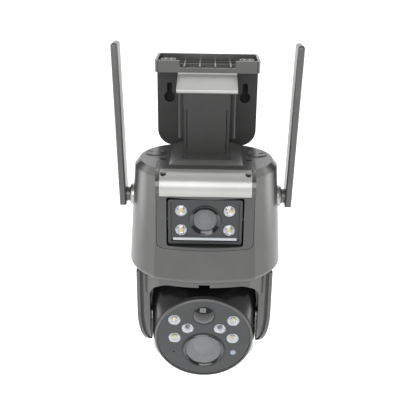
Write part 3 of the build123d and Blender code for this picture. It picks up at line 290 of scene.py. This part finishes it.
# %% [markdown]
# ## Clear parts and optics
#
# Lens covers are moulded in polycarbonate. The eyes are real glass with a coating, which cuts
# reflections and leaves a faint tint. Inside a lamp, a reflector cup holds a chip under phosphor.

# %% Optics finishes
# Clear polycarbonate: bright edges, and a view of the cup below.
clear, tree, shader = finish("clear_moulded_polycarbonate", "#f5f8fa", 0.03,
                             Transmission_Weight=1.0, IOR=1.58)
grain(tree, shader, 4, 0.01)

# Coated glass: dark but alive, with one soft reflection over it.
coated, tree, shader = finish("coated_optical_glass", "#c9cdd0", 0.02,
                              Transmission_Weight=0.9, IOR=1.52)
grain(tree, shader, 6, 0.005)

# Inner glass: the rose-brown glimmer deep inside an eye.
amber, tree, shader = finish("amber_coated_inner_glass", "#b99a8c", 0.03,
                             Transmission_Weight=0.75, IOR=1.6)
grain(tree, shader, 5, 0.004)

# Frosted guide: an even, milky bar with no hot spots.
diffuser, tree, shader = finish("frosted_light_guide", "#c8ccd0", 0.5, Transmission_Weight=0.2)
grain(tree, shader, 0.4, 0.05)

# Reflector: a grey metallic ring round each chip.
chrome, tree, shader = finish("vacuum_aluminised_reflector", "#a2a3a5", 0.22, 1.0)
grain(tree, shader, 0.6, 0.01)

# Phosphor: the cream-yellow centre of a white lamp.
phosphor, tree, shader = finish("warm_white_led_phosphor", "#e6d29a", 0.5, Emission_Strength=0.05)
shader.inputs["Emission Color"].default_value = srgb("#f0dca8")
grain(tree, shader, 0.3, 0.02)

# Infrared chip: a dark grey centre, which tells these lamps from the white ones.
dark_die, tree, shader = finish("infrared_led_die", "#54555a", 0.3)
grain(tree, shader, 0.3, 0.01)

# Package: the pale frame round a chip.
board_white, tree, shader = finish("white_led_package", "#b9b8b2", 0.45)
grain(tree, shader, 0.3, 0.01)

# Smoked dome: black glass to the eye, with a clean highlight.
smoke, tree, shader = finish("smoked_polycarbonate_dome", "#17181a", 0.05,
                             Coat_Weight=0.5, Coat_Roughness=0.02)
grain(tree, shader, 8, 0.01)

# Sensor epoxy: a small grey-blue dot.
pale_epoxy, tree, shader = finish("pale_blue_sensor_epoxy", "#858f9a", 0.2)
grain(tree, shader, 1.0, 0.01)

# Anodised barrel: the blackest part, so the eye reads as a hole. On the plugs it is painted shade
# in the pin slots.
matt_black, tree, shader = finish("matt_black_anodised_barrel_and_painted_slot_shade", "#0c0c0d", 0.55)
grain(tree, shader, 0.4, 0.03)
print("optics finishes:", len(bpy.data.materials))

# %% [markdown]
# ## Metals and the works inside
#
# Hinge discs take a pale plated finish that paints their highlight, screws are blackened so they do
# not shine in the top face, and the works inside keep the look of their trade: green boards, blue
# cells, white gears and bare steel.

# %% Metals and inner works
# Painted highlight: a pale, soft nickel mirror at the foot of each antenna, lighter than the paint.
painted_highlight_plating, tree, shader = finish("satin_nickel_hinge_disc_with_painted_highlight", "#9c9c9b", 0.28, 0.9)
grain(tree, shader, 0.3, 0.01)

# Black oxide: screws that sink into the shadow of their bores.
blackened, tree, shader = finish("black_oxide_on_steel", "#1a1a1b", 0.4, 1.0)
grain(tree, shader, 0.3, 0.02)

# Steel: bright turned shafts and motor cans.
steel, tree, shader = finish("turned_stainless_steel", "#b9b9bb", 0.3, 1.0)
grain(tree, shader, 0.2, 0.01)

# Acetal: the waxy off-white of moulded gears.
acetal, tree, shader = finish("natural_acetal", "#dedcd4", 0.45)
grain(tree, shader, 0.6, 0.01)

# Solder mask: deep green with a slight gloss.
board, tree, shader = finish("green_solder_mask", "#0f3a22", 0.35)
tint(tree, shader, grain(tree, shader, 1.2, 0.03), 3, "#0d331e", "#134428")

# Shrink sleeve: the blue skin of the battery cells.
sleeve, tree, shader = finish("blue_shrink_sleeve", "#1f4f8c", 0.3)
grain(tree, shader, 2.5, 0.02)
print("all finishes:", len(bpy.data.materials))

# %% [markdown]
# ## Put the finishes on
#
# The record names a material slot for every measured piece. A piece takes the finish of its slot.
# Four are told apart from their slot: the head's two shells are softer than the bezels, the wall
# plate takes the bracket's near-black finish as painted shade under the tray, the two screws are
# blackened, and the window's bezel is polished.

# %% Put the finishes on the measured pieces
# The silver_trim slot takes the lightened graphite paint, which is painted highlight.
slot_finish = {
    "graphite_plastic": graphite, "dark_plastic": dark_texture_and_plate_shade, "silver_trim": painted_highlight_trim,
    "black_gloss": piano, "face_satin": satin, "clear_lens": clear, "camera_glass": coated,
    "light_diffuser": diffuser, "foam": foam, "soft_rubber": rubber, "circuit_board": board,
    "steel": steel, "acetal": acetal, "cell_sleeve": sleeve,
}
for row in frame["record"]["subparts"]:
    mesh = frame["nodes"][row["node"]].data
    mesh.materials.clear()
    mesh.materials.append(slot_finish[row["material_slot"]])
for node in ("head_barrel", "rear_cap"):
    frame["nodes"][node].data.materials[0] = satin_black
# Painted shade: the wall plate lies in shade under the tray, so it takes the near-black bracket finish
# in place of graphite.
frame["nodes"]["wall_plate"].data.materials[0] = dark_texture_and_plate_shade
frame["nodes"]["cover_screws"].data.materials[0] = blackened
frame["nodes"]["window_bezel"].data.materials[0] = polished

# %% [markdown]
# ## Round pieces, turned on a lathe
#
# Lenses, rings and plugs are all round. The maker draws half of the section, and the spin tool
# turns it once about the axis. A section that starts and ends on the axis closes into a solid.

# %% The lathe
FINE = 96


def turned(section, steps):
    """Draws half a section, point by point in millimetres, and spins it round Z."""
    ease_off()
    first = Vector((section[0][0], 0, section[0][1])) * MM
    bpy.ops.mesh.primitive_plane_add(size=MM, location=first)
    bpy.ops.object.mode_set(mode="EDIT")
    bpy.ops.mesh.select_mode(type="VERT")
    bpy.ops.mesh.merge(type="CENTER")
    for (r0, z0), (r1, z1) in zip(section, section[1:]):
        step = ((r1 - r0) * MM, 0, (z1 - z0) * MM)
        bpy.ops.mesh.extrude_region_move(TRANSFORM_OT_translate={"value": step})
    bpy.ops.mesh.select_all(action="SELECT")
    bpy.ops.mesh.spin(steps=steps, angle=2 * math.pi, center=(0, 0, 0), axis=(0, 0, 1))
    bpy.ops.mesh.select_all(action="SELECT")
    bpy.ops.mesh.remove_doubles(threshold=0.001 * MM)
    bpy.ops.mesh.normals_make_consistent(inside=False)
    bpy.ops.object.mode_set(mode="OBJECT")
    bpy.ops.object.transform_apply(location=True, rotation=True, scale=True)
    return bpy.context.object


def dome(radius, edge, top, count=10):
    """The half section of a shallow dome, from its top on the axis out to its edge."""
    rise = top - edge
    ball = (radius**2 + rise**2) / (2 * rise)
    reach = math.asin(radius / ball)
    turns = [reach * i / count for i in range(count + 1)]
    return [(ball * math.sin(t), top - ball + ball * math.cos(t)) for t in turns]


def fit(piece, name, material, place, body, slot, *nodes):
    """Puts a finished piece in its place, names and finishes it, and hangs it on its body."""
    ease_off()
    piece.name = name
    piece.data.name = name
    piece.data.materials.clear()
    piece.data.materials.append(material)
    piece.matrix_world = place
    piece.select_set(True)
    bpy.context.view_layer.objects.active = piece
    bpy.ops.object.transform_apply(location=True, rotation=True, scale=True)
    bpy.ops.object.shade_smooth_by_angle(angle=math.radians(32))
    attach(piece, body)
    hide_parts(*nodes)
    return piece


def pick_edges(piece, wanted):
    """Selects the edges whose two ends pass a test, and leaves the piece in edit mode."""
    bpy.ops.object.mode_set(mode="EDIT")
    bpy.ops.mesh.select_mode(type="EDGE")
    bpy.ops.mesh.select_all(action="DESELECT")
    bpy.ops.object.mode_set(mode="OBJECT")
    for edge in piece.data.edges:
        edge.select = wanted(*[piece.data.vertices[v].co for v in edge.vertices])
    bpy.ops.object.mode_set(mode="EDIT")


def twin(piece):
    """A copy of a piece with its own mesh."""
    other = piece.copy()
    other.data = piece.data.copy()
    bpy.context.collection.objects.link(other)
    return other


# %% [markdown]
# Every lens has its own place on the sloping face or in the upper window. The measured model
# already holds those places: each lens is one loose island in its node. The next cell reads the
# islands in a frame whose Z axis is the eye's line of sight.

# %% Places of the lenses
joints = {joint["name"]: joint for joint in frame["record"]["behaviour"]["joints"]}
REST_TILT = 7
upright = math.radians(90)
head_turn = Matrix.Rotation(upright + math.radians(REST_TILT), 4, "X")
HEAD = Matrix.Translation(joints["tilt"]["pos_m"]) @ head_turn
EYE = Matrix.Translation(joints["eye_tilt"]["pos_m"]) @ Matrix.Rotation(upright, 4, "X")
LEVEL = Matrix.Identity(4)


def islands(node, view):
    """The loose islands of a node in a frame: centre x and y, radius, lowest and highest z, in mm."""
    mesh = frame["nodes"][node].data
    back = view.inverted()
    keys = [tuple(round(c, 6) for c in v.co) for v in mesh.vertices]
    home = {key: key for key in keys}

    def root(key):
        while home[key] != key:
            home[key] = home[home[key]]
            key = home[key]
        return key

    for edge in mesh.edges:
        home[root(keys[edge.vertices[0]])] = root(keys[edge.vertices[1]])
    groups = {}
    for key in home:
        groups.setdefault(root(key), []).append(back @ Vector(key) / MM)
    found = []
    for points in groups.values():
        low = [min(p[i] for p in points) for i in range(3)]
        high = [max(p[i] for p in points) for i in range(3)]
        middle = ((low[0] + high[0]) / 2, (low[1] + high[1]) / 2)
        found.append((*middle, (high[0] - low[0]) / 2, low[2], high[2]))
    return sorted(found, key=lambda spot: (round(spot[1]), round(spot[0])))


def at(view, x, y, z):
    """A place in one of the frames, in millimetres."""
    return view @ Matrix.Translation(Vector((x, y, z)) * MM)


for node, view in (("white_lamps", HEAD), ("infrared_lamps", HEAD), ("module_lamps", EYE)):
    print(node, [[round(v, 1) for v in spot] for spot in islands(node, view)])

# %% [markdown]
# ## Lamps
#
# A lamp is a clear moulded lens over a bright cup, with the light-emitting chip in the middle of
# the cup. All three are modelled once and copied to each place. The infrared lamps have a darker
# chip, and their cup has eight flat sides, which draw a star.

# %% Lamps
LAMP_SIDES = 64
ROUND_CUP = 48
STAR_CUP = 8


def lamp_set(name, node, view, body, chip_finish, sides):
    """Models one lamp, and puts a copy of it at every lens of a node."""
    places = islands(node, view)
    radius, low, high = places[0][2:]
    tall = high - low
    rim = tall - 1.5
    lens = turned(dome(radius - 0.4, rim, tall) + [
        (radius, rim - 0.15), (radius, rim - 0.9), (radius - 0.5, rim - 0.9),
        *reversed(dome(radius - 1.2, rim - 0.6, tall - 1.0))], LAMP_SIDES)
    cup = turned([
        (0, 0.1), (1.9, 0.1), (radius * 0.6, 0.6), (radius - 0.5, rim - 1.1),
        (radius - 0.8, rim - 1.1), (radius * 0.55, 0.9), (1.7, 0.35), (0, 0.35)], sides)
    package = turned([(0, 0.8), (2.2, 0.8), (2.5, 0.6), (2.5, 0.3), (0, 0.3)], 4)
    chip = turned(dome(2.0, 0.85, 1.5, 8) + [(2.0, 0.7), (0, 0.7)], 32)
    masters = (
        (lens, "lens", clear, "clear_lens"), (cup, "cup", chrome, "steel"),
        (package, "package", board_white, "light_diffuser"), (chip, "chip", chip_finish, "clear_lens"),
    )
    for number, (x, y, _, low, _) in enumerate(places, 1):
        for master, word, material, slot in masters:
            piece = master if number == len(places) else twin(master)
            fit(piece, f"{name}_{word}_{number}", material, at(view, x, y, low), body, slot, node)


lamp_set("white_lamp", "white_lamps", HEAD, "head", phosphor, ROUND_CUP)
lamp_set("infrared_lamp", "infrared_lamps", HEAD, "head", dark_die, STAR_CUP)
lamp_set("window_lamp", "module_lamps", EYE, "upper_eye", phosphor, ROUND_CUP)

# %% [markdown]
# ## The zoom eye
#
# The large lens in the head is a stack: a gloss ring on the face, the domed front glass, and a
# matt black barrel that steps inwards so stray light is lost, with a second, coated glass deep
# inside. Seen through the front glass, the steps draw the fine rings of a real lens.

# %% Zoom eye
x, y, radius, low, high = islands("zoom_ring", HEAD)[0]
place = at(HEAD, x, y, low)
inner = radius - 3.2
ring = turned([
    (inner, 0.2), (radius, 0.2), (radius, 2.7), (radius - 0.3, 3.2), (radius - 0.8, 3.2),
    (radius - 1.0, 2.9), (radius - 1.3, 3.3), (radius - 1.9, 3.7), (radius - 2.4, 3.5),
    (inner, 2.6), (inner, 0.2)], FINE)
fit(ring, "zoom_gloss_ring", piano, place, "head", "black_gloss", "zoom_ring")

glass = turned(dome(inner - 0.4, 2.0, 3.3, 14) + [
    (inner - 0.1, 1.8), (inner - 0.1, 1.0), *reversed(dome(inner - 1.4, 1.0, 1.9, 10))], FINE)
fit(glass, "zoom_front_glass", coated, place, "head", "camera_glass", "zoom_glass")

steps = [(15.2, -24), (15.2, -0.3)]
bore, depth = 14.6, -0.3
while bore > 8:
    steps += [(bore, depth), (bore, depth - 1.1)]
    bore, depth = bore - 1.5, depth - 1.1
steps += [(bore, depth), (bore, depth - 1.5), (0, depth - 1.5)]
barrel = turned([(0, -24)] + steps, FINE)
fit(barrel, "zoom_stepped_barrel", matt_black, place, "head", "dark_plastic", "zoom_barrel")

second = turned(dome(9.4, -4.6, -2.4, 12) + [(9.4, -5.2), (0, -5.2)], 72)
fit(second, "zoom_second_glass", amber, place, "head", "camera_glass", "zoom_glass")
print("zoom eye at", [round(v * 1000) for v in place.translation], "mm")

# %% [markdown]
# ## Motion dome and light sensor
#
# The smoked dome above the zoom eye hides a motion sensor. It is one glossy moulding with a
# small step round its foot. The light sensor is a pale dot of epoxy in its own small bezel.

# %% Motion dome and light sensor
x, y, radius, low, high = islands("motion_lens", HEAD)[0]
tall = high - low
eye_dome = turned(dome(radius - 0.9, tall - 4.3, tall, 16) + [
    (radius - 0.7, tall - 4.7), (radius - 0.1, tall - 4.7), (radius, tall - 4.9),
    (radius, 0), (0, 0)], FINE)
fit(eye_dome, "motion_dome", smoke, at(HEAD, x, y, low), "head", "black_gloss", "motion_lens")

x, y, radius, low, high = islands("light_sensor", HEAD)[0]
sensor = turned(dome(radius - 0.5, 2.4, 2.7, 6) + [
    (radius - 0.4, 2.2), (radius, 2.5), (radius, 0), (0, 0)], 40)
fit(sensor, "light_sensor_dot", pale_epoxy, at(HEAD, x, y, low), "head", "clear_lens", "light_sensor")
print("dome and sensor on the face:", eye_dome.name, sensor.name)

# %% [markdown]
# ## The wide eye
#
# The upper eye sits deep in a black cone, which shades it from the sun. Behind its front glass
# are the same black steps and a small inner glass.

# %% Wide eye
x, y, radius, low, high = islands("eye_ring", EYE)[0]
place = at(EYE, x, y, low)
mouth = radius - 3.6
cone = turned([
    (mouth, -0.2), (radius - 0.3, -0.2), (radius, 0.2), (radius, 2.1), (radius - 0.3, 2.4),
    (radius - 0.9, 2.4), (radius - 1.5, 2.0), (mouth + 0.4, 0.7), (mouth, 0.5), (mouth, -0.2)], FINE)
fit(cone, "wide_eye_cone", piano, place, "upper_eye", "black_gloss", "eye_ring")

front = turned(dome(mouth - 0.3, -0.1, 0.9, 12) + [
    (mouth - 0.1, -0.3), (mouth - 0.1, -0.9), *reversed(dome(mouth - 1.2, -0.9, -0.3, 8))], 72)
fit(front, "wide_eye_glass", coated, place, "upper_eye", "camera_glass", "eye_glass")

steps = [(mouth + 0.1, -9.6), (mouth + 0.1, -0.9)]
bore, depth = mouth - 0.6, -0.9
while bore > 4.6:
    steps += [(bore, depth), (bore, depth - 0.8)]
    bore, depth = bore - 1.2, depth - 0.8
steps += [(bore, depth), (bore, depth - 1.2), (0, depth - 1.2)]
barrel = turned([(0, -9.6)] + steps, 72)
fit(barrel, "wide_eye_stepped_barrel", matt_black, place, "upper_eye", "dark_plastic", "eye_barrel")

second = turned(dome(5.0, -3.4, -1.9, 8) + [(5.0, -3.9), (0, -3.9)], 48)
fit(second, "wide_eye_second_glass", amber, place, "upper_eye", "camera_glass", "eye_glass")
print("wide eye at", [round(v * 1000) for v in place.translation], "mm")

# %% [markdown]
# ## Plugs on the top face
#
# Two flat plugs close the holes through which the shell is screwed to the works. A tool with two
# pins turns them, so each has a pair of short slots; the slots are not cut, and a thin matt black
# block on the top of each paints its shade. Fine rings are turned into the top, and the light breaks
# on them.

# %% Top plugs
PIN_SPACING = 6.2
PIN_SLOT_SHADE = Vector((4.4, 1.8, 0.4)) * MM
plug_places = islands("top_plugs", LEVEL)
radius, low, high = plug_places[0][2:]
tall = high - low
rings = [(0, tall - 0.08)]
for groove in (radius * 0.62, radius * 0.84):
    rings += [(groove - 0.3, tall - 0.08), (groove - 0.15, tall - 0.4), (groove + 0.15, tall - 0.4),
              (groove + 0.3, tall - 0.08)]
plug = turned(rings + [(radius - 0.4, tall - 0.08), (radius, tall - 0.4), (radius, 0), (0, 0)], 72)

# Painted shade: each slot is a thin matt black block on the plug's top, not a cut.
bpy.ops.mesh.primitive_cube_add(size=1, location=(0, 0, (tall - 0.2) * MM))
slot_shade_block = bpy.context.object
slot_shade_block.scale = PIN_SLOT_SHADE
bpy.ops.object.transform_apply(location=True, rotation=True, scale=True)
pick_edges(slot_shade_block, lambda one, other: abs(one.z - other.z) > 0.1 * MM)
bpy.ops.mesh.bevel(offset=0.85 * MM, segments=6)
bpy.ops.object.mode_set(mode="OBJECT")

for number, (x, y, _, low, _) in enumerate(plug_places, 1):
    last = number == len(plug_places)
    for shift, word in ((-PIN_SPACING / 2, "inner"), (PIN_SPACING / 2, "outer")):
        piece = slot_shade_block if last and word == "outer" else twin(slot_shade_block)
        fit(piece, f"plug_slot_shade_{word}_{number}", matt_black, at(LEVEL, x + shift, y, low),
            "body", "black_gloss", "top_plugs")
    fit(plug if last else twin(plug), f"top_plug_{number}", graphite, at(LEVEL, x, y, low),
        "body", "graphite_plastic", "top_plugs")
print("plugs at", [[round(v) for v in spot[:2]] for spot in plug_places], "mm")

# %% [markdown]
# ## Hinge discs of the antennas
#
# Each antenna turns on a disc in the body's side, plated pale as painted highlight. It is two discs
# pressed together, which leaves a groove round the middle, and the outer one is slightly crowned.

# %% Antenna hinge discs
PIN_DEPTH = 3.2
for hand, word in ((-1, "left"), (1, "right")):
    low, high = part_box(f"antenna_base_{word}")
    radius = (high.z - low.z) / 2 / MM
    tall = (high.x - low.x) / MM
    disc = turned([
        (0, 0), (radius - 0.3, 0), (radius, 0.3), (radius, tall * 0.42), (radius - 0.7, tall * 0.46),
        (radius - 0.7, tall * 0.52), (radius, tall * 0.56), (radius, tall - 1.4),
        (radius - 0.4, tall - 0.6), (radius - 1.2, tall - 0.1), (4.6, tall), (4.1, tall - 0.4),
        (4.1, PIN_DEPTH), (0, PIN_DEPTH)], 72)
    foot = Vector((low.x if hand > 0 else high.x, (low.y + high.y) / 2, (low.z + high.z) / 2))
    outwards = Matrix.Rotation(hand * upright, 4, "Y")
    # Painted highlight: the pale plating stands for the light that the disc catches.
    fit(disc, f"antenna_hinge_disc_{word}", painted_highlight_plating, Matrix.Translation(foot) @ outwards,
        "body", "steel", f"antenna_base_{word}")
    print(word, "disc:", round(radius, 1), "mm radius,", round(tall, 1), "mm thick")

# %% [markdown]
# ## Gasket behind the wall plate
#
# A sheet of closed-cell foam seals the wall plate to the wall. It is cut with a knife die, so its
# edges are soft. It lies behind the keyholes, where its near-black face is painted shade for their
# depth, and a screw pushes through it.

# %% Wall gasket
CORNER = 12.2 * MM
SOFT_EDGE = 0.5 * MM
low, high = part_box("wall_gasket")
bpy.ops.mesh.primitive_cube_add(size=1, location=(low + high) / 2)
keyhole_shade_gasket = bpy.context.object
keyhole_shade_gasket.scale = high - low
bpy.ops.object.transform_apply(location=True, rotation=True, scale=True)
pick_edges(keyhole_shade_gasket, lambda one, other: max(one.z, other.z) < low.z + MM and abs(one.y - other.y) > MM)
bpy.ops.mesh.bevel(offset=CORNER, segments=10)
bpy.ops.object.mode_set(mode="OBJECT")
pick_edges(keyhole_shade_gasket, lambda one, other: abs(one.y - other.y) < MM and min(one.y, other.y) < low.y + MM)
bpy.ops.mesh.bevel(offset=SOFT_EDGE, segments=2)
bpy.ops.object.mode_set(mode="OBJECT")
# Painted shade: the near-black sheet fills the keyholes with dark.
fit(keyhole_shade_gasket, "foam_wall_gasket_keyhole_shade", foam, LEVEL, "body", "foam", "wall_gasket")
print("gasket:", [round(v / MM, 1) for v in high - low], "mm")

# %% [markdown]
# ## Sizes
#
# The last lines write the size of the measured model and of the finished one.
# The two have to agree, because the parts move as measured.

# %% Sizes, and the last line
low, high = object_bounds()
print("finished model:", [round(v * 1000) for v in high - low], "mm")
